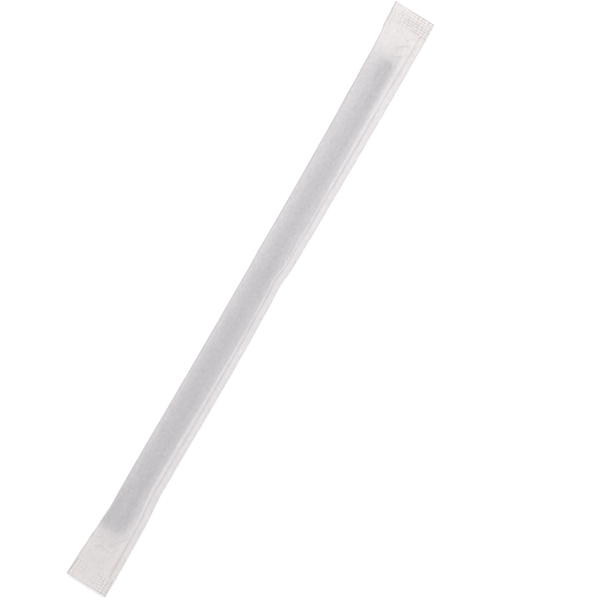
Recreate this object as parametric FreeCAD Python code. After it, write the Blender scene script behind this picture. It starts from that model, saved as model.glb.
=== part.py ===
import FreeCAD, Part
import math
import os

from FreeCAD import Vector

# Wrapped spoon straw: a plastic drinking straw with a spoon end, sealed in a paper sleeve.
# It lies on the plane Z = 0 with its length along X and the spoon towards -X.
# The sleeve is one sheet, folded down its +Y side and sealed down its -Y side and across both ends.
# All sizes are in millimetres and all angles in degrees.

# Straw: an extruded tube, slit at one end and pressed open into a spoon with a rounded tip.
STRAW_LENGTH = 260.0
STRAW_OD = 7.0
STRAW_WALL = 0.2
SPOON_LENGTH = 28.0
SPOON_WIDTH = 11.4
SPOON_DEPTH = 3.8
SLIT_WIDTH = 0.3  # where the slit begins
TIP_CORNER_RADIUS = {1: 1.2, -1: 4.8}  # on the fold side (1) and on the seam side (-1)
SPOON_STEPS = 8

# Sleeve: the paper, and the flat sleeve that is made from it.
PAPER = 0.06
SEAL_FILM = 0.02  # adhesive between the two plies of a seal
SIDE_ROOM = 3.8  # spare width inside, each side of the spoon
SIDE_SEAM = 3.0
END_SEAL = 9.0
END_ROOM = {"spoon": 19.3, "sip": 17.7}  # from each end of the straw to the end seal there
END_SKEW = 2.2  # both end cuts are this far off square

# How the straw lies in the sleeve, and the sleeve on the table.
REST_GAP = 0.1  # between the straw and the ply under it
SLACK = 0.45  # how far the plies stand off the straw elsewhere
END_CLEARANCE = 0.5  # the plies start to close this far past each end of the straw
SPOON_TO_FOLD = 1.35  # the straw lies askew, with the spoon's edge this near the fold ...
SIP_TO_SEAM = 4.6  # ... and the sip end's wall this near the side seam
LID_RISE = 1.9  # of the ply over the spoon, between the spoon's two edges
END_DROOP = 0.8  # how far the flat ends sag

# Going round the straw draws the fold and the seam in from the flat sleeve's edges. Each row gives a
# place, as a share of the way from the spoon's throat to the sip end, and the two amounts there.
SPOON_TIP_DRAW = (1.5, 0.0)
TUBE_DRAW = (
    (0.0, 2.2, 1.1),
    (0.2, 2.5, 0.7),
    (0.5, 2.8, 1.5),
    (0.56, 2.8, 0.5),
    (0.8, 2.5, 0.0),
    (1.0, 1.8, 0.0),
)

straw_radius = STRAW_OD / 2
tip_radius = ((SPOON_WIDTH / 2) ** 2 + SPOON_DEPTH**2) / (2 * SPOON_DEPTH)
lid_radius = ((SPOON_WIDTH / 2) ** 2 + LID_RISE**2) / (2 * LID_RISE)

inside_width = SPOON_WIDTH + 2 * SIDE_ROOM
flat_width = PAPER + inside_width + SIDE_SEAM
flat_fold_y = flat_width / 2 - PAPER
flat_seam_y = flat_fold_y - inside_width
wrapper_length = STRAW_LENGTH + sum(END_ROOM.values()) + 2 * END_SEAL

start_x = -wrapper_length / 2
tip_x = start_x + END_SEAL + END_ROOM["spoon"]
throat_x = tip_x + SPOON_LENGTH
sip_x = tip_x + STRAW_LENGTH
axis_z = PAPER + REST_GAP + straw_radius
tip_y = flat_fold_y - SPOON_TIP_DRAW[0] - SPOON_TO_FOLD - SPOON_WIDTH / 2
sip_y = flat_seam_y + SIP_TO_SEAM + straw_radius
straw_turn = math.atan((sip_y - tip_y) / STRAW_LENGTH)


def straw_axis_y(x):
    return tip_y + (x - tip_x) * math.tan(straw_turn)


def above(z):
    """A block with its underside at this height and room for the whole object over it."""
    reach = wrapper_length
    return Part.makeBox(2 * reach, 2 * reach, reach, Vector(-reach, -reach, z))


# The straw is made with its tip at X = 0 and its axis on the X axis.


def spoon_section(distance):
    """The wall's outline where it is cut square at this distance from the tip.

    From the throat to the tip it widens smoothly, and its two edges drop from the slit.
    """
    share = 1 - distance / SPOON_LENGTH
    widened = share * share * (3 - 2 * share)
    half_width = straw_radius + (SPOON_WIDTH / 2 - straw_radius) * widened
    slit_depth = straw_radius * (1 + math.cos(SLIT_WIDTH / STRAW_OD))
    depth = SPOON_DEPTH + (slit_depth - SPOON_DEPTH) * (1 - share) ** 2
    if depth > half_width:
        outer = half_width
        half_angle = math.acos(1 - depth / outer)
    else:
        outer = (half_width**2 + depth**2) / (2 * depth)
        half_angle = math.asin(half_width / outer)
    inner = outer - STRAW_WALL

    def point(angle, radius):
        keel_z = outer - straw_radius
        return Vector(distance, radius * math.sin(angle), keel_z - radius * math.cos(angle))

    def arc(start, end, radius):
        middle = point((start + end) / 2, radius)
        return Part.Arc(point(start, radius), middle, point(end, radius)).toShape()

    return Part.Wire(
        [
            arc(-half_angle, 0, outer),
            arc(0, half_angle, outer),
            Part.makeLine(point(half_angle, outer), point(half_angle, inner)),
            arc(half_angle, 0, inner),
            arc(0, -half_angle, inner),
            Part.makeLine(point(-half_angle, inner), point(-half_angle, outer)),
        ]
    )


def make_spoon():
    sections = [spoon_section(SPOON_LENGTH * i / SPOON_STEPS) for i in range(SPOON_STEPS + 1)]
    blank = Part.makeLoft(sections, True, False)
    reach = 2 * SPOON_WIDTH
    outline = Part.makeBox(
        reach + SPOON_LENGTH, SPOON_WIDTH, 2 * reach, Vector(0, -SPOON_WIDTH / 2, -reach)
    )
    for side, radius in TIP_CORNER_RADIUS.items():
        corner = Vector(0, side * SPOON_WIDTH / 2, 0)
        edge = [e for e in outline.Edges if e.CenterOfMass.isEqual(corner, 0.001)]
        outline = outline.makeFillet(radius, edge)
    return blank.common(outline)


def make_straw():
    throat = Vector(SPOON_LENGTH, 0, 0)
    length = STRAW_LENGTH - SPOON_LENGTH
    tube = Part.makeCylinder(straw_radius, length, throat, Vector(1, 0, 0))
    bore = Part.makeCylinder(straw_radius - STRAW_WALL, length, throat, Vector(1, 0, 0))
    straw = tube.cut(bore).fuse(make_spoon())
    straw.rotate(Vector(0, 0, 0), Vector(0, 0, 1), math.degrees(straw_turn))
    straw.translate(Vector(tip_x, tip_y, axis_z))
    return straw


# The sleeve is lofted straight from one cut across it to the next, outside and inside.


def tangent_point(corner, centre, radius, side):
    """Where a straight run from corner meets the circle, on the side above (1) or below (-1)."""
    dy, dz = corner[0] - centre[0], corner[1] - centre[1]
    spread = math.acos(radius / math.hypot(dy, dz))
    turn = spread if (dy > 0) == (side > 0) else -spread
    angle = math.atan2(dz, dy) + turn
    return centre[0] + radius * math.cos(angle), centre[1] + radius * math.sin(angle)


class Cut:
    """One cut across the sleeve, at x, with its fold, its seam line and its two plies.

    Each ply goes round a circle (y, z, radius). Where the sleeve is flat, level holds the y and the
    half width of what it closes round, and the cut is askew as the sleeve's ends are.
    """

    def __init__(self, x, z, draw=(0.0, 0.0), upper=None, lower=None, level=None):
        self.x, self.z = x, z
        self.fold = flat_fold_y - draw[0]
        self.seam = flat_seam_y + draw[1]
        self.circles = {1: upper, -1: lower}
        self.level = level

    def point(self, y, z):
        skew = y * math.tan(math.radians(END_SKEW)) if self.level else 0.0
        return Vector(self.x + skew, y, z)

    def ply(self, side, skin):
        """A ply's edges from fold to seam, on its inside (skin 0) or its outside (skin PAPER)."""
        z = self.z + side * (SEAL_FILM / 2 + skin)
        fold, seam = (self.fold + skin, z), (self.seam - skin, z)
        if self.level:
            y, half_width = self.level
            a, b = self.point(y + half_width, z), self.point(y - half_width, z)
            crown = Part.makeLine(a, b)
        else:
            y, centre_z, radius = self.circles[side]
            radius += skin
            a = self.point(*tangent_point(fold, (y, centre_z), radius, side))
            b = self.point(*tangent_point(seam, (y, centre_z), radius, side))
            crown = Part.Arc(a, self.point(y, centre_z + side * radius), b).toShape()
        return [
            Part.makeLine(self.point(*fold), a),
            crown,
            Part.makeLine(b, self.point(*seam)),
        ]

    def outline(self, skin):
        upper, lower = self.ply(1, skin), self.ply(-1, skin)
        corners = [upper[-1].Vertexes[-1].Point, lower[-1].Vertexes[-1].Point]
        if skin:
            edge = self.seam - SIDE_SEAM
            corners[1:1] = [self.point(edge, corners[0].z), self.point(edge, corners[1].z)]
        across = [Part.makeLine(a, b) for a, b in zip(corners, corners[1:])]
        fold = Part.makeLine(lower[0].Vertexes[0].Point, upper[0].Vertexes[0].Point)
        return Part.Wire(upper + across + lower[::-1] + [fold])


def flat_cuts(straw_end_x, room, outwards, half_width):
    """The cuts at an end seal's two edges, in order away from the straw."""
    cuts = []
    for distance in (room, room + END_SEAL):
        droop = END_DROOP * distance / (room + END_SEAL)
        level = (straw_axis_y(straw_end_x), half_width)
        cuts.append(Cut(straw_end_x + outwards * distance, axis_z - droop, level=level))
    return cuts


def spoon_cut():
    """Past the tip the lower ply goes round the spoon, and the upper one lies over its two edges."""
    keel_z = axis_z - straw_radius
    edge_z = keel_z + SPOON_DEPTH
    lower = (tip_y, keel_z + tip_radius, tip_radius + SLACK)
    upper = (tip_y, edge_z + LID_RISE - lid_radius, lid_radius + SLACK)
    return Cut(tip_x - END_CLEARANCE, edge_z, SPOON_TIP_DRAW, upper, lower)


def tube_cuts():
    cuts = []
    for share, *draw in TUBE_DRAW:
        x = throat_x + share * (sip_x + END_CLEARANCE - throat_x)
        circle = (straw_axis_y(x), axis_z, straw_radius + SLACK)
        cuts.append(Cut(x, axis_z, draw, circle, circle))
    return cuts


def make_wrapper():
    spoon_end = flat_cuts(tip_x, END_ROOM["spoon"], -1, SPOON_WIDTH / 2)[::-1]
    sip_end = flat_cuts(sip_x, END_ROOM["sip"], 1, straw_radius)
    middle = [spoon_cut()] + tube_cuts()
    outside = [c.outline(PAPER) for c in spoon_end + middle + sip_end]
    inside = [c.outline(0.0) for c in spoon_end[1:] + middle + sip_end[:1]]
    body = Part.makeLoft(outside, True, True).common(above(0.0))
    space = Part.makeLoft(inside, True, True).common(above(PAPER))
    return body.cut(space)


os.makedirs("parts", exist_ok=True)
make_wrapper().exportStep("parts/paper_wrapper.step")
make_straw().exportStep("parts/spoon_straw.step")
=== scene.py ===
import bisect
import math

import bmesh
import bpy
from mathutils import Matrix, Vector, noise


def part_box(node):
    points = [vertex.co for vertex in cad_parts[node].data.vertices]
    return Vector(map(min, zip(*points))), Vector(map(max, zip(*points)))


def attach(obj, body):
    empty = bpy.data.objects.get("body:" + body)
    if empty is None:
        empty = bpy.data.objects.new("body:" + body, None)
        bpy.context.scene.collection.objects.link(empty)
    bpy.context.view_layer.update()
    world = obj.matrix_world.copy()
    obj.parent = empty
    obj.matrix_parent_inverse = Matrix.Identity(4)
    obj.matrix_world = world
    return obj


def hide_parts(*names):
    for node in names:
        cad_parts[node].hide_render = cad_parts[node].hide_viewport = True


# A wrapped spoon straw: a black straw with a spoon end, sealed in a sleeve of thin white paper.
# The straw is the CAD part with its plastic. The paper is one sheet, folded down one side, closed
# down the other by a seam and crimped across both ends. Lengths are in millimetres, apart from those
# of the floor, the lamps and the camera, which are in metres.

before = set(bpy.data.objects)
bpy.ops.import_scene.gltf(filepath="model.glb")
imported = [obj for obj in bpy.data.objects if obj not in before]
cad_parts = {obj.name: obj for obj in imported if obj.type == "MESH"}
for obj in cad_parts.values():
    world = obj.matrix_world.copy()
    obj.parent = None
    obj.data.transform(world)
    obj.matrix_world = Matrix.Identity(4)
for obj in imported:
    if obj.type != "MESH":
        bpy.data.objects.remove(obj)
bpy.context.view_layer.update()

MM = 0.001
UV_SIZE = 400.0  # the flat sheet's UV map is this many millimetres across

# The sheet before it is folded: a ply each side of the fold, and the side seam beyond each ply.
PLY = 19.0
SIDE_SEAM = 3.0
EDGE = PLY + SIDE_SEAM
PAPER = 0.06
END_SEAL = 9.0
END_SKEW = math.tan(math.radians(2.2))
SKEWED = (120.0, 148.0)  # cuts across the sleeve turn askew between these distances from its middle

# The folded sheet.
STUCK = 0.13  # between the middles of two plies that are stuck together
FOLD_RADIUS = 0.34  # where the straw holds the fold open
FULL_RISE = 3.76  # from the seam's level to the crown of a ply that counts as fully open
TUBE_GAP = 0.1  # the least from the tube to the middle of the sheet
PAST_SIP_END = 1.0  # the sheet keeps that gap this far beyond the tube
TABLE_GAP = 0.01  # the least from the table to the outside of the sheet

# Each ply is two curves: from the fold up to its crown, and on to the pinch beside the seam. A run is
# the handle at a curve's end, which the curve follows as it leaves that end. It is (y, z), with z away
# from the other ply, and smaller in z where the ply is less than fully open.
CROWN_RUN = 3.8
FOLD_RUN = (-1.6, 1.3)
PINCH_RUN = (1.9, 0.45)
PINCH_RISE = 0.06  # from the seam to the pinch
SEAMWARD = {1: 0.7, -1: 1.0}  # the share of the crown's run on that side, in the upper and the lower ply

# What each run gains for a millimetre that the fold is higher than the seam. The last two are for the
# upper ply only.
CROWN_RUN_LIFTED = -0.6
FOLD_RUN_LIFTED = (-0.6, -0.5)
PINCH_RUN_LIFTED = (0.0, 0.65)

# What is pressed into both plies at once.
SEAM_LINE = (0.3, 0.46)  # the depth and half width of the line along the side seam
LINE_LOST = 0.75  # the share of its depth that it loses in a firmly pressed end seal
CRIMP_PITCH = (1.3, 1.85)  # along the sleeve and across it
CRIMP_HEIGHT = 0.3  # of a bump over the ply's own level
CRIMP_START = 0.6  # the crimp grows to its full height over this much of the end seal
ROWS_DEEPER = {-1: -0.08, 1: 0.2}  # than the columns, as a share, at the spoon end and the sip end
HALFWAY = 11.0  # where FIRM gives how firmly a ply is pressed between its fold and its seam

# Creases and rumples. The lower ply takes up the upper one's creases over this stretch, counted from
# the fold. Rumples are askew: what a millimetre across adds along, and a millimetre along adds across.
CREASE_HALF_WIDTH = 0.45
CREASED_TOGETHER = (13.5, 15.5)
RUMPLE = (6.0, 3.2)  # the size of one, along and across
RUMPLE_SLANT = (0.9, -0.4)
RUMPLE_REACH = 17.5  # how far from the fold they go
RUMPLE_FADE = (6.0, 3.0)  # over this much they die out, along and across
RUMPLE_HEIGHT = 0.07
END_RUMPLE_HEIGHT = 0.3  # on top of that, at the ends
END_RUMPLES = {1: (118.0, 132.0), -1: (130.0, 144.0)}  # they grow here, in the upper ply and the lower

# The straw in the sleeve.
STRAW_RADIUS = 3.5
SPOON_HALF_WIDTH = 5.7
SPOON_LENGTH = 28.0

sleeve_high = Vector(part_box("paper_wrapper")[1]) / MM
straw_low, straw_high = [Vector(corner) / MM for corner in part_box("spoon_straw")]
HALF_LENGTH = sleeve_high.x - sleeve_high.y * END_SKEW
HALF_WIDTH = sleeve_high.y
SEAL_START = HALF_LENGTH - END_SEAL
TIP_X, SIP_X = straw_low.x, straw_high.x
TIP_Y = straw_high.y - SPOON_HALF_WIDTH
SIP_Y = straw_low.y + STRAW_RADIUS
AXIS_Z = straw_high.z - STRAW_RADIUS

# How far the fold and the seam's edge are drawn in from the flat sleeve's width: (x, fold, seam).
DRAW = (
    (-157.5, 0.2, 0.1),
    (-148.0, 0.65, 0.0),
    (-138.0, 1.2, 0.1),
    (-129.0, 1.95, 0.2),
    (-119.0, 2.6, 0.4),
    (-103.0, 2.5, 1.45),
    (-81.0, 2.55, 1.4),
    (-60.0, 2.8, 1.1),
    (-22.0, 2.95, 1.0),
    (3.0, 2.95, 1.45),
    (13.0, 3.0, 1.95),
    (22.0, 2.8, 0.95),
    (50.0, 2.9, 0.45),
    (90.0, 2.6, 0.15),
    (112.0, 2.2, 0.05),
    (130.0, 1.85, 0.0),
    (139.0, 1.5, 0.0),
    (147.0, 0.6, 0.0),
    (157.5, 0.1, 0.0),
)

# The section along the sleeve, as heights of the sheet's middle: (x, the seam's level, how much higher
# the fold is, the upper ply's crown, the lower ply's crown, pinch). The pinch is how far inside the
# seam the plies stay together. Over the straw the plies stand off it.
HEIGHTS = (
    (-157.5, 2.7, 0.0, 2.7, 2.7, 1.5),
    (-148.5, 3.1, 0.0, 3.1, 3.1, 1.5),
    (-139.0, 3.5, 0.0, 4.3, 1.9, 1.5),
    (-130.0, 3.7, 0.0, 5.6, 0.03, 1.5),
    (-115.0, 3.75, 0.3, 7.0, 0.03, 1.5),
    (-108.0, 3.75, 0.8, 7.25, 0.03, 1.7),
    (-98.0, 3.85, 1.2, 7.32, 0.03, 2.1),
    (-80.0, 3.95, 1.5, 7.32, 0.03, 2.2),
    (-45.0, 4.0, 1.5, 7.32, 0.03, 1.7),
    (0.0, 4.1, 1.5, 7.32, 0.03, 1.2),
    (40.0, 4.1, 1.5, 7.32, 0.03, 1.2),
    (110.0, 4.8, 0.1, 7.32, 0.03, 2.0),
    (131.0, 4.8, -0.1, 7.32, 0.03, 2.2),
    (139.0, 4.1, 0.0, 5.5, 1.9, 1.8),
    (148.5, 3.1, 0.0, 3.1, 3.1, 1.5),
    (157.5, 2.7, 0.0, 2.7, 2.7, 1.5),
)

# How firmly the jaws pressed the end seals: (x, at the fold, halfway across, at the side seam).
FIRM = (
    (-157.5, 0.35, 0.35, 1.0),
    (-152.0, 0.85, 0.35, 1.05),
    (-148.5, 1.05, 0.35, 0.8),
    (148.5, 0.75, 0.9, 1.2),
    (152.0, 0.5, 1.2, 1.2),
    (157.5, 0.2, 0.9, 1.2),
)

# Creases in the upper ply, and in both plies where they lie together. Each is a height, less than
# nothing for a valley, and then its points (x, reach), where reach is how far a point of the flat
# sheet is from the fold.
CREASES = (
    (0.42, (-138.8, 4.6), (-137.0, 7.0), (-137.6, 9.9), (-137.3, 13.4)),
    (-0.4, (-136.4, 11.4), (-132.4, 15.4), (-128.6, 18.0)),
    (0.2, (-134.4, 3.2), (-132.6, 5.6)),
    (0.6, (132.2, 8.5), (135.5, 14.1), (137.4, 16.9)),
    (-0.4, (136.6, 15.4), (137.8, 18.6), (138.8, 21.0)),
    (0.65, (138.0, 9.9), (142.2, 15.8)),
    (0.3, (135.0, 12.5), (138.6, 9.6)),
    (0.2, (144.1, 14.6), (147.0, 17.1)),
    (0.16, (136.6, 3.6), (139.6, 6.4)),
    (0.12, (110.0, 3.2), (115.0, 6.4)),
    (0.14, (116.4, 2.6), (122.4, 6.8)),
    (0.12, (122.6, 2.4), (128.4, 5.6)),
)


def smooth(share):
    share = min(max(share, 0.0), 1.0)
    return share * share * (3 - 2 * share)


def rise(span, place):
    """How far the place is through the span, smoothly from 0 to 1."""
    return smooth((place - span[0]) / (span[1] - span[0]))


def read(table, x):
    """The table's row at x, run smoothly from one row to the next."""
    if x <= table[0][0]:
        return table[0][1:]
    for row, following in zip(table, table[1:]):
        if x <= following[0]:
            share = rise((row[0], following[0]), x)
            return [a + (b - a) * share for a, b in zip(row[1:], following[1:])]
    return table[-1][1:]


def bezier(points, t):
    a, b, c, d = points
    s = 1 - t
    return a * s**3 + b * (3 * s * s * t) + c * (3 * s * t * t) + d * t**3


def runs(start, *steps):
    """Stops from start: each step is (where it ends, how many stops it takes to get there)."""
    stops = [start]
    for end, count in steps:
        begin = stops[-1]
        stops += [begin + (end - begin) * (i + 1) / count for i in range(count)]
    return stops


class Section:
    """One cut across the sleeve, as a path of (y, z) for each ply from the fold to the seam line."""

    FOLD_STEPS = 8
    CURVE_STEPS = 40

    def __init__(self, x):
        fold_draw, seam_draw = read(DRAW, x)
        self.level, self.lift, top, bottom, self.pinched = read(HEIGHTS, x)
        self.fold_y = HALF_WIDTH - PAPER / 2 - fold_draw
        self.seam_y = -HALF_WIDTH + seam_draw + SIDE_SEAM
        along = min(max((x - TIP_X) / (SIP_X - TIP_X), 0.0), 1.0)
        self.axis = Vector((TIP_Y + (SIP_Y - TIP_Y) * along, AXIS_Z))
        self.tube = TIP_X + SPOON_LENGTH < x < SIP_X + PAST_SIP_END
        self.paths = {}
        for side, crown_z in ((1, top), (-1, bottom)):
            path = [self.outside_tube(point) for point in self.ply_path(side, crown_z)]
            lengths = [0.0]
            for a, b in zip(path, path[1:]):
                lengths.append(lengths[-1] + (b - a).length)
            self.paths[side] = path, lengths

    def ply_path(self, side, crown_z):
        """The upper ply (side 1) or the lower one (side -1), as if there was no tube in the way."""
        open_share = abs(crown_z - self.level) / FULL_RISE
        bend = STUCK / 2 + (FOLD_RADIUS - STUCK / 2) * min(open_share, 1.0)
        shoulder = Vector((self.fold_y - bend, self.level + self.lift + side * bend))
        crown = Vector((self.axis[0], side * max(side * crown_z, side * self.level + bend)))
        seam = Vector((self.seam_y, self.level + side * STUCK / 2))
        pinch = seam + Vector((self.pinched, side * PINCH_RISE * open_share))
        crown_run = Vector((CROWN_RUN + CROWN_RUN_LIFTED * self.lift, 0))
        fold_run = Vector((FOLD_RUN[0], side * FOLD_RUN[1] * open_share))
        pinch_run = Vector((PINCH_RUN[0], side * PINCH_RUN[1] * open_share))
        if side > 0:
            fold_run += self.lift * Vector(FOLD_RUN_LIFTED)
            pinch_run += self.lift * Vector(PINCH_RUN_LIFTED)
        path = []
        for i in range(self.FOLD_STEPS):
            turn = math.pi / 2 * i / self.FOLD_STEPS
            path.append(shoulder + bend * Vector((math.cos(turn), side * (math.sin(turn) - 1))))
        for curve in (
            (shoulder, shoulder + fold_run, crown + crown_run, crown),
            (crown, crown - crown_run * SEAMWARD[side], pinch + pinch_run, pinch),
        ):
            path += [bezier(curve, i / self.CURVE_STEPS) for i in range(self.CURVE_STEPS)]
        return path + [pinch, seam]

    def outside_tube(self, point):
        """Move a point that would touch the tube straight away from its axis."""
        away = point - self.axis
        nearest = STRAW_RADIUS + TUBE_GAP
        near = self.tube and away.length < nearest
        return self.axis + away.normalized() * nearest if near else point

    def at(self, side, reach):
        """The place of a point that is this far from the fold, on the flat sheet."""
        if reach >= PLY:
            return self.seam_y - (reach - PLY), self.level + side * STUCK / 2
        path, lengths = self.paths[side]
        target = reach / PLY * lengths[-1]
        i = bisect.bisect_right(lengths, target) - 1
        part = (target - lengths[i]) / (lengths[i + 1] - lengths[i])
        return path[i].lerp(path[i + 1], part)


def seam_line(distance):
    depth, half_width = SEAM_LINE
    return -depth * math.exp(-((distance / half_width) ** 2))


def crimped(x, reach):
    """How firmly the end seals' jaws pressed here: nothing outside the seals."""
    at_fold, halfway, at_seam = read(FIRM, x)
    ply = [(0.0, at_fold), (HALFWAY, halfway), (PLY, at_seam)]
    return smooth((abs(x) - SEAL_START) / CRIMP_START) * read(ply, reach)[0]


def pressed(x, reach):
    """What is pressed into both plies at once: the seam's line, and the end seals' grid of bumps."""
    firm = crimped(x, reach)
    z = seam_line(reach - PLY) * (1 - LINE_LOST * min(firm, 1.0))
    if firm > 0:
        rows, columns = [2 * math.pi / pitch for pitch in CRIMP_PITCH]
        deeper = ROWS_DEEPER[1 if x > 0 else -1]
        grid = (1 + deeper) * math.cos(rows * (abs(x) - SEAL_START))
        grid += (1 - deeper) * math.cos(columns * reach)
        z += CRIMP_HEIGHT * firm * grid / 2
    return z


def creased(x, reach):
    """How far the upper ply's creases stand up here."""
    here = Vector((x, reach))
    z = 0.0
    for height, *points in CREASES:
        away = []
        for start, end in zip(points, points[1:]):
            start, run = Vector(start), Vector(end) - Vector(start)
            share = min(max((here - start).dot(run) / run.length_squared, 0.0), 1.0)
            away.append((here - start - run * share).length)
        z += height * math.exp(-((min(away) / CREASE_HALF_WIDTH) ** 2))
    return z


def rumpled(x, reach, side):
    """Shallow waves where the plies are free, running askew across the sleeve."""
    free = smooth(reach / RUMPLE_FADE[1]) * smooth((RUMPLE_REACH - reach) / RUMPLE_FADE[1])
    free *= smooth((SEAL_START - abs(x)) / RUMPLE_FADE[0])
    height = RUMPLE_HEIGHT + END_RUMPLE_HEIGHT * rise(END_RUMPLES[side], abs(x))
    along = (x + RUMPLE_SLANT[0] * reach) / RUMPLE[0]
    across = (reach + RUMPLE_SLANT[1] * x) / RUMPLE[1]
    apart = 9.1 * side  # keeps the two plies' waves unlike each other
    return free * height * noise.noise(Vector((along, across, apart)))


# --- the sheet ---
def flat_grid():
    """The sheet drawn flat, with its length along X and its fold on Y = 0.

    Its vertices are closest at the fold, beside the seam and in the end seals.
    """
    ply_stops = runs(0.0, (0.36, 3), (1.1, 2), (16.9, 28), (20.3, 14), (EDGE, 4))
    across = [-reach for reach in ply_stops[:0:-1]] + ply_stops
    end, middle = SEAL_START, 104.0
    along = runs(-HALF_LENGTH, (-end, 40), (-middle, 89), (middle, 122), (end, 89), (HALF_LENGTH, 40))
    bm = bmesh.new()
    rows, columns = len(along) - 1, len(across) - 1
    bmesh.ops.create_grid(bm, x_segments=rows, y_segments=columns, size=1.0)
    for v in bm.verts:
        i, j = round((v.co.x + 1) / 2 * rows), round((v.co.y + 1) / 2 * columns)
        v.co = Vector((along[i], across[j], 0))
    # The end seals' cells are halved across, for the crimp, where they are over 0.3 mm wide.
    wide = []
    nearly = 0.01
    for edge in bm.edges:
        a, b = [v.co for v in edge.verts]
        if abs(a.x - b.x) < nearly and abs(a.y - b.y) > 0.3 and abs(a.x) > end - nearly:
            wide.append(edge)
    bmesh.ops.subdivide_edges(bm, edges=wide, cuts=1, use_grid_fill=True)
    return bm


def lay_out(bm):
    """Keep each vertex's place on the flat sheet in a UV map, for the paper's pattern."""
    flat = bm.loops.layers.uv.new("flat_sheet")
    for face in bm.faces:
        face.smooth = True
        for loop in face.loops:
            loop[flat].uv = (loop.vert.co.x / UV_SIZE + 0.5, loop.vert.co.y / UV_SIZE + 0.5)


def fold_up(bm):
    """Fold the flat sheet round the straw, crimp and crease it, and note how firm its crimp is."""
    crimp = bm.verts.layers.float.new("crimp")
    sections = {}
    for v in bm.verts:
        x, reach = v.co.x, abs(v.co.y)
        side = 1 if v.co.y > 0 else -1
        v[crimp] = crimped(x, reach)
        if x not in sections:
            sections[x] = Section(x)
        y, z = sections[x].at(side, reach)
        z += pressed(x, reach) + rumpled(x, reach, side)
        z += creased(x, reach) * (1 if side > 0 else rise(CREASED_TOGETHER, reach))
        y, z = sections[x].outside_tube(Vector((y, z)))
        skew = rise(SKEWED, abs(x)) * y * END_SKEW
        v.co = Vector((x + skew, y, max(z, PAPER / 2 + TABLE_GAP))) * MM


def make_sheet():
    bm = flat_grid()
    lay_out(bm)
    fold_up(bm)
    mesh = bpy.data.meshes.new("paper_sleeve")
    bm.to_mesh(mesh)
    bm.free()
    made = bpy.data.objects.new("paper_sleeve", mesh)
    bpy.context.collection.objects.link(made)
    thickness = made.modifiers.new("paper", "SOLIDIFY")
    thickness.thickness = PAPER * MM
    thickness.offset = 0.0
    return made


# --- materials ---
def linear(code):
    """A colour written in sRGB hex, as the linear colour that a node takes."""
    values = [int(code[i : i + 2], 16) / 255 for i in (1, 3, 5)]
    return [v / 12.92 if v <= 0.04045 else ((v + 0.055) / 1.055) ** 2.4 for v in values] + [1.0]


def node(tree, kind, inputs=None, **settings):
    """Add a node, with what goes into its sockets: a value, an output, or a node's first output."""
    made = tree.nodes.new("ShaderNode" + kind)
    for name, value in settings.items():
        setattr(made, name, value)
    for name, value in (inputs or {}).items():
        if isinstance(value, bpy.types.Node):
            value = value.outputs[0]
        if isinstance(value, bpy.types.NodeSocket):
            tree.links.new(value, made.inputs[name])
        else:
            made.inputs[name].default_value = value
    return made


def blank(name):
    material = bpy.data.materials.new(name)
    material.use_nodes = True
    material.node_tree.nodes.clear()
    return material, material.node_tree


# Sizes in the paper, in millimetres. Its fibres are drawn as coarse as they need to show.
CLOUD = 10 / 3
FIBRE = 5 / 3
SPECK_SPACING = 6.25
STREAK = (6.25, 4 / 3)  # a shallow crease's length and width
# the size of the patches where the seam's painted shade fades
SEAM_SHADE_PATCH = 20.0
DASHES = ((1.25, 1.0), (2.3, -0.8))  # two waves: the pitch, and the slant for each millimetre across
# a painted highlight runs along this raised edge
SEAM_HIGHLIGHT_EDGE = 0.95  # from the seam's line to the raised edge on each side of it
EMPTY_ENDS = (124.0, 140.0)  # the straw ends between these distances from the sleeve's middle

# How far each takes the paper's colour towards black.
# EVEN_SHADE greys all the paper evenly, which leaves room for the painted highlights on the crimp's tops.
EVEN_SHADE = 0.08
CLOUD_SHADE = 0.1
# PIT_SHADE is painted shade in the crimp's pits and the dashes' troughs, and a painted highlight on their
# tops.
PIT_SHADE = 0.14

# The share of light that goes straight through, less in a fibre and more on a crimp's tops. Of the
# rest, a share comes through scattered.
CLEAR = 0.4
FIBRE_CLEAR = -0.3
TOP_CLEAR = 0.18
SCATTERED = 0.448

# Heights too fine for the sheet's mesh, in millimetres.
STREAK_HEIGHT = 0.5
FIBRE_HEIGHT = 0.12
DASH_HEIGHT = 0.06


def wave(tree, place, reach, pitch, slant=0.0):
    """Crests this far apart, and shifted by the slant for each millimetre from the fold."""
    place = node(tree, "Math", {0: reach, 1: slant, 2: place}, operation="MULTIPLY_ADD")
    turn = node(tree, "Math", {0: place, 1: 2 * math.pi / pitch}, operation="MULTIPLY")
    return node(tree, "Math", {0: turn}, operation="COSINE")


def crimp_grid(tree, along, x, reach, crimp):
    """The end seals' grid: 2 on a top and -2 in a pit, and less where the jaws pressed less."""
    into = node(tree, "Math", {0: x, 1: SEAL_START}, operation="SUBTRACT")
    rows = wave(tree, into, reach, CRIMP_PITCH[0])
    columns = wave(tree, reach, reach, CRIMP_PITCH[1])
    deeper = {"Value": along, "From Min": -SEAL_START, "From Max": SEAL_START}
    deeper |= {"To Min": ROWS_DEEPER[-1], "To Max": ROWS_DEEPER[1]}
    deeper = node(tree, "MapRange", deeper)
    both = node(tree, "Math", {0: rows, 1: columns}, operation="ADD")
    apart = node(tree, "Math", {0: rows, 1: columns}, operation="SUBTRACT")
    grid = node(tree, "Math", {0: deeper, 1: apart, 2: both}, operation="MULTIPLY_ADD")
    return node(tree, "Math", {0: grid, 1: crimp}, operation="MULTIPLY")


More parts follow.
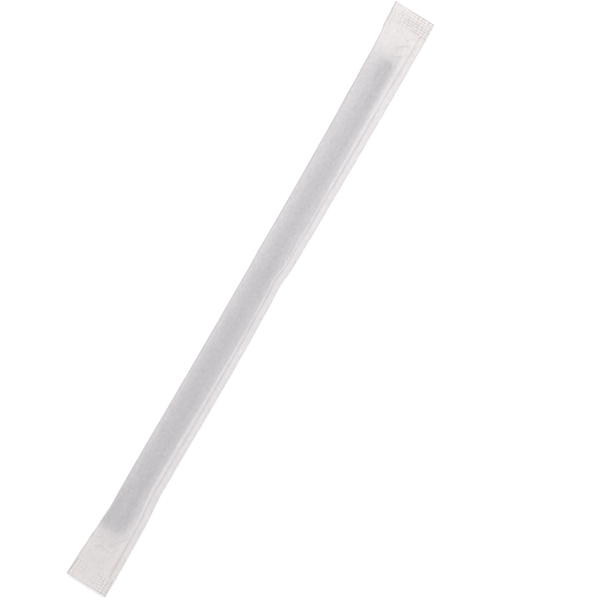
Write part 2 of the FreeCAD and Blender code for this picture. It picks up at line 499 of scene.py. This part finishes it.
def roller_dashes(tree, along, reach, beyond_seam):
    """The fine slanting dashes that the seam's roller leaves between its line and the edge."""
    waves = [wave(tree, along, reach, pitch, slant) for pitch, slant in DASHES]
    dashes = node(tree, "Math", {0: waves[0], 1: waves[1]}, operation="MULTIPLY")
    flange = {"Value": beyond_seam, "From Min": 0.4, "From Max": 0.8}
    flange = node(tree, "MapRange", flange, interpolation_type="SMOOTHSTEP")
    return node(tree, "Math", {0: dashes, 1: flange}, operation="MULTIPLY")


def with_lines(tree, dark, flat, x, reach, beyond_seam, crimp):
    """The paper's shade with its lines: painted shade along the seam's line, along the fold and round the
    edge, a painted highlight beside the seam's line, and specks.

    The seam's line fades in patches and in the crimp, as if it was further away there.
    """
    from_seam = node(tree, "Math", {0: beyond_seam}, operation="ABSOLUTE")
    patchy = node(tree, "TexNoise", {"Vector": flat, "Scale": 1 / SEAM_SHADE_PATCH, "Detail": 1.0})
    faint = {"Value": patchy, "From Min": 0.42, "From Max": 0.62, "To Min": 0.0, "To Max": 0.3}
    faint = node(tree, "MapRange", faint)
    seam_shade_distance = node(tree, "Math", {0: crimp, 1: 0.6, 2: from_seam}, operation="MULTIPLY_ADD")
    seam_shade_distance = node(tree, "Math", {0: seam_shade_distance, 1: faint}, operation="ADD")
    highlight_distance = node(tree, "Math", {0: from_seam, 1: SEAM_HIGHLIGHT_EDGE}, operation="SUBTRACT")
    highlight_distance = node(tree, "Math", {0: highlight_distance}, operation="ABSOLUTE")
    from_side = node(tree, "Math", {0: EDGE, 1: reach}, operation="SUBTRACT")
    from_end = node(tree, "Math", {0: HALF_LENGTH, 1: x}, operation="SUBTRACT")
    speck = node(tree, "TexVoronoi", {"Vector": flat, "Scale": 1 / SPECK_SPACING}).outputs["Distance"]
    # How dark each line is, and how far from it the shade starts to fade and ends. A speck's two
    # distances are shares of the specks' spacing.
    for distance, amount, start, end in (
        # painted shade in the seam's groove, with greyer crushed fibres
        (seam_shade_distance, 0.13, 0.25, 0.95),
        # a painted highlight on the raised edge each side of the seam's line
        (highlight_distance, -0.03, 0.1, 0.4),
        # painted shade along the fold, where the paper turns down
        (reach, 0.18, 0.55, 1.05),
        # painted shade over the fold side of each ply, fading away from the fold
        (reach, 0.02, 2.5, 6.5),
        # painted shade along the seam's cut edge
        (from_side, 0.12, 0.15, 0.5),
        # painted shade along the cut ends
        (from_end, 0.14, 0.2, 0.6),
        (speck, 0.24, 0.04, 0.1),
    ):
        line = {"Value": distance, "From Min": start, "From Max": end, "To Min": amount, "To Max": 0.0}
        line = node(tree, "MapRange", line, interpolation_type="SMOOTHSTEP")
        dark = node(tree, "Math", {0: dark, 1: line}, operation="ADD")
    return dark


def fine_relief(tree, flat, fibre, dashes):
    """The normal of what is too fine for the mesh: askew streaks of creasing, fibres and dashes."""
    skewed = {"Vector": flat, "Rotation": (0, 0, math.radians(38))}
    skewed |= {"Scale": (1 / STREAK[0], 1 / STREAK[1], 1)}
    skewed = node(tree, "Mapping", skewed)
    streaks = node(tree, "TexNoise", {"Vector": skewed, "Scale": 1.0, "Detail": 1.0})
    height = node(tree, "Math", {0: fibre, 1: FIBRE_HEIGHT}, operation="MULTIPLY")
    height = node(tree, "Math", {0: streaks, 1: STREAK_HEIGHT, 2: height}, operation="MULTIPLY_ADD")
    height = node(tree, "Math", {0: dashes, 1: DASH_HEIGHT, 2: height}, operation="MULTIPLY_ADD")
    return node(tree, "Bump", {"Height": height, "Distance": MM})


def bleached_kraft_paper():
    """Thin white paper, calendered: matt, cloudy, and clear enough to show what is under it.

    The pattern is laid out on the flat sheet, in millimetres. What is pressed into the paper crushes its
    fibres, so the seam's line looks greyer, deepened with painted shade. The crimp's pits and the dashes'
    troughs get painted shade, their tops a painted highlight, and the tops let more light straight
    through.
    """
    material, tree = blank("bleached_kraft_paper")
    uv = node(tree, "UVMap", uv_map="flat_sheet")
    flat = node(tree, "Mapping", {"Vector": uv, "Location": [-UV_SIZE / 2] * 3, "Scale": [UV_SIZE] * 3})
    along, over = node(tree, "SeparateXYZ", {0: flat}).outputs[:2]
    x = node(tree, "Math", {0: along}, operation="ABSOLUTE")
    reach = node(tree, "Math", {0: over}, operation="ABSOLUTE")
    beyond_seam = node(tree, "Math", {0: reach, 1: PLY}, operation="SUBTRACT")
    crimp = node(tree, "Attribute", attribute_name="crimp").outputs["Fac"]
    grid = crimp_grid(tree, along, x, reach, crimp)
    dashes = roller_dashes(tree, along, reach, beyond_seam)
    pattern = node(tree, "Math", {0: grid, 1: 0.5, 2: dashes}, operation="MULTIPLY_ADD")

    cloud = node(tree, "TexNoise", {"Vector": flat, "Scale": 1 / CLOUD, "Detail": 3.0})
    fibre = node(tree, "TexNoise", {"Vector": flat, "Scale": 1 / FIBRE, "Detail": 3.0, "Roughness": 0.5})
    cloudy = node(tree, "Math", {0: cloud, 1: 0.5}, operation="SUBTRACT")
    dark = node(tree, "Math", {0: cloudy, 1: CLOUD_SHADE, 2: EVEN_SHADE}, operation="MULTIPLY_ADD")
    # Painted shade in the crimp's pits and the dashes' troughs, and painted highlights on their tops.
    dark = node(tree, "Math", {0: pattern, 1: -PIT_SHADE, 2: dark}, operation="MULTIPLY_ADD")
    dark = with_lines(tree, dark, flat, x, reach, beyond_seam, crimp)
    shaded = {"Factor": dark, "A": linear("#FEFCFF"), "B": linear("#000000")}
    surface = node(tree, "Mix", shaded, data_type="RGBA").outputs[2]
    normal = fine_relief(tree, flat, fibre, dashes)
    front = {"Base Color": surface, "Roughness": 0.7, "Specular IOR Level": 0.25, "Normal": normal}
    front = node(tree, "BsdfPrincipled", front)

    # Light that comes through the sleeve's empty ends is a little warmer than along the straw.
    empty = {"Value": x, "From Min": EMPTY_ENDS[0], "From Max": EMPTY_ENDS[1]}
    empty = node(tree, "MapRange", empty)
    through = {"Factor": empty, "A": linear("#FFFCFA"), "B": linear("#FEFBF5")}
    through = node(tree, "Mix", through, data_type="RGBA").outputs[2]
    back = node(tree, "BsdfTranslucent", {"Color": through})
    lit = node(tree, "MixShader", {0: SCATTERED, 1: front, 2: back})
    clear = node(tree, "Math", {0: fibre, 1: FIBRE_CLEAR, 2: CLEAR}, operation="MULTIPLY_ADD")
    clear = node(tree, "Math", {0: pattern, 1: TOP_CLEAR, 2: clear}, operation="MULTIPLY_ADD")
    paper = node(tree, "MixShader", {0: clear, 1: lit, 2: node(tree, "BsdfTransparent")})
    node(tree, "OutputMaterial", {"Surface": paper})
    return material


DIE_LINE = (60.0, 0.6)  # the length and width of a line that the extruder's die leaves
SCUFF = 8.0


def black_polypropylene():
    """Extruded polypropylene, coloured through: near black, with a soft gloss and fine lines along it."""
    material, tree = blank("black_polypropylene")
    place = node(tree, "TexCoord").outputs["Object"]
    length, width = [size * MM for size in DIE_LINE]
    drawn = node(tree, "Mapping", {"Vector": place, "Scale": (1 / length, 1 / width, 1 / width)})
    lines = node(tree, "TexNoise", {"Vector": drawn, "Scale": 1.0, "Detail": 2.0})
    scuffs = node(tree, "TexNoise", {"Vector": place, "Scale": 1 / (SCUFF * MM), "Detail": 4.0})
    rough = {"Value": scuffs, "From Min": 0.3, "From Max": 0.7, "To Min": 0.28, "To Max": 0.42}
    rough = node(tree, "MapRange", rough)
    colour = node(tree, "ValToRGB", {0: scuffs})
    colour.color_ramp.elements[0].color = linear("#0C0C0E")
    colour.color_ramp.elements[1].color = linear("#1A1A1D")
    normal = node(tree, "Bump", {"Height": lines, "Distance": 0.01 * MM})
    skin = {"Base Color": colour, "Roughness": rough, "Normal": normal, "IOR": 1.49}
    skin = node(tree, "BsdfPrincipled", skin)
    node(tree, "OutputMaterial", {"Surface": skin})
    return material


def seen_directly(tree):
    """1 for what the camera, a gloss or clear glass sees, and 0 for what only gives soft light."""
    seen = node(tree, "LightPath").outputs
    direct = seen["Is Camera Ray"]
    for name in ("Is Glossy Ray", "Is Transmission Ray"):
        direct = node(tree, "Math", {0: direct, 1: seen[name]}, operation="MAXIMUM")
    return direct


FLOOR_GLOW = 0.28  # what the camera sees on top of the paint, to bring the lit floor up to white


def white_floor():
    """Matt white paint. It keeps the object's shadow, and looks white where none falls."""
    material, tree = blank("white_floor")
    amount = {0: seen_directly(tree), 1: FLOOR_GLOW}
    amount = node(tree, "Math", amount, operation="MULTIPLY")
    paint = node(tree, "BsdfDiffuse", {"Color": (0.92, 0.92, 0.92, 1)})
    glow = node(tree, "Emission", {"Strength": amount})
    added = node(tree, "AddShader", {0: paint, 1: glow})
    node(tree, "OutputMaterial", {"Surface": added})
    return material


sheet = make_sheet()
sheet.data.materials.append(bleached_kraft_paper())
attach(sheet, "root")
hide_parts("paper_wrapper")

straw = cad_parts["spoon_straw"]
plastic = black_polypropylene()
for slot in straw.material_slots:
    slot.material = plastic


# --- floor, light, camera, in metres ---
def make_floor():
    bm = bmesh.new()
    bmesh.ops.create_grid(bm, x_segments=1, y_segments=1, size=3.0)
    mesh = bpy.data.meshes.new("floor")
    bm.to_mesh(mesh)
    bm.free()
    made = bpy.data.objects.new("floor", mesh)
    bpy.context.collection.objects.link(made)
    made.data.materials.append(white_floor())
    return made


ROOM_LIGHT = 0.734  # what the room gives the object, where 1 is the white that it shows


def light_studio():
    """A white room, with a soft light from all sides."""
    world = bpy.data.worlds.new("studio")
    bpy.context.scene.world = world
    world.use_nodes = True
    world.node_tree.nodes.clear()
    tree = world.node_tree
    fill = node(tree, "Background", {"Color": linear("#FBFCFF"), "Strength": ROOM_LIGHT})
    white = node(tree, "Background", {"Color": (1, 1, 1, 1), "Strength": 1.0})
    room = node(tree, "MixShader", {0: seen_directly(tree), 1: fill, 2: white})
    node(tree, "OutputWorld", {"Surface": room})


def softbox(name, at, side, power):
    """A square lamp of this side, aimed at the middle of the object."""
    lamp = bpy.data.lights.new(name, "AREA")
    lamp.size = side
    lamp.energy = power
    made = bpy.data.objects.new(name, lamp)
    bpy.context.collection.objects.link(made)
    made.location = at
    made.rotation_euler = (-Vector(at)).to_track_quat("-Z", "Y").to_euler()
    made.visible_camera = False


def place_camera():
    """It looks straight down, and sees the sleeve run from low on the left to high on the right."""
    camera = bpy.data.cameras.new("camera")
    camera.sensor_width = 36.0
    camera.lens = 138.0
    made = bpy.data.objects.new("camera", camera)
    bpy.context.collection.objects.link(made)
    made.location = (0.0113, -0.0208, 1.1)
    made.rotation_euler = (0, 0, math.radians(-60.08))
    bpy.context.scene.camera = made


floor = make_floor()
light_studio()
softbox("overhead", at=(0.35, 0.05, 0.75), side=0.5, power=1.645)
softbox("key", at=(0.55, 0.15, 0.9), side=0.8, power=1.93)
place_camera()
bpy.context.scene.view_settings.view_transform = "Standard"
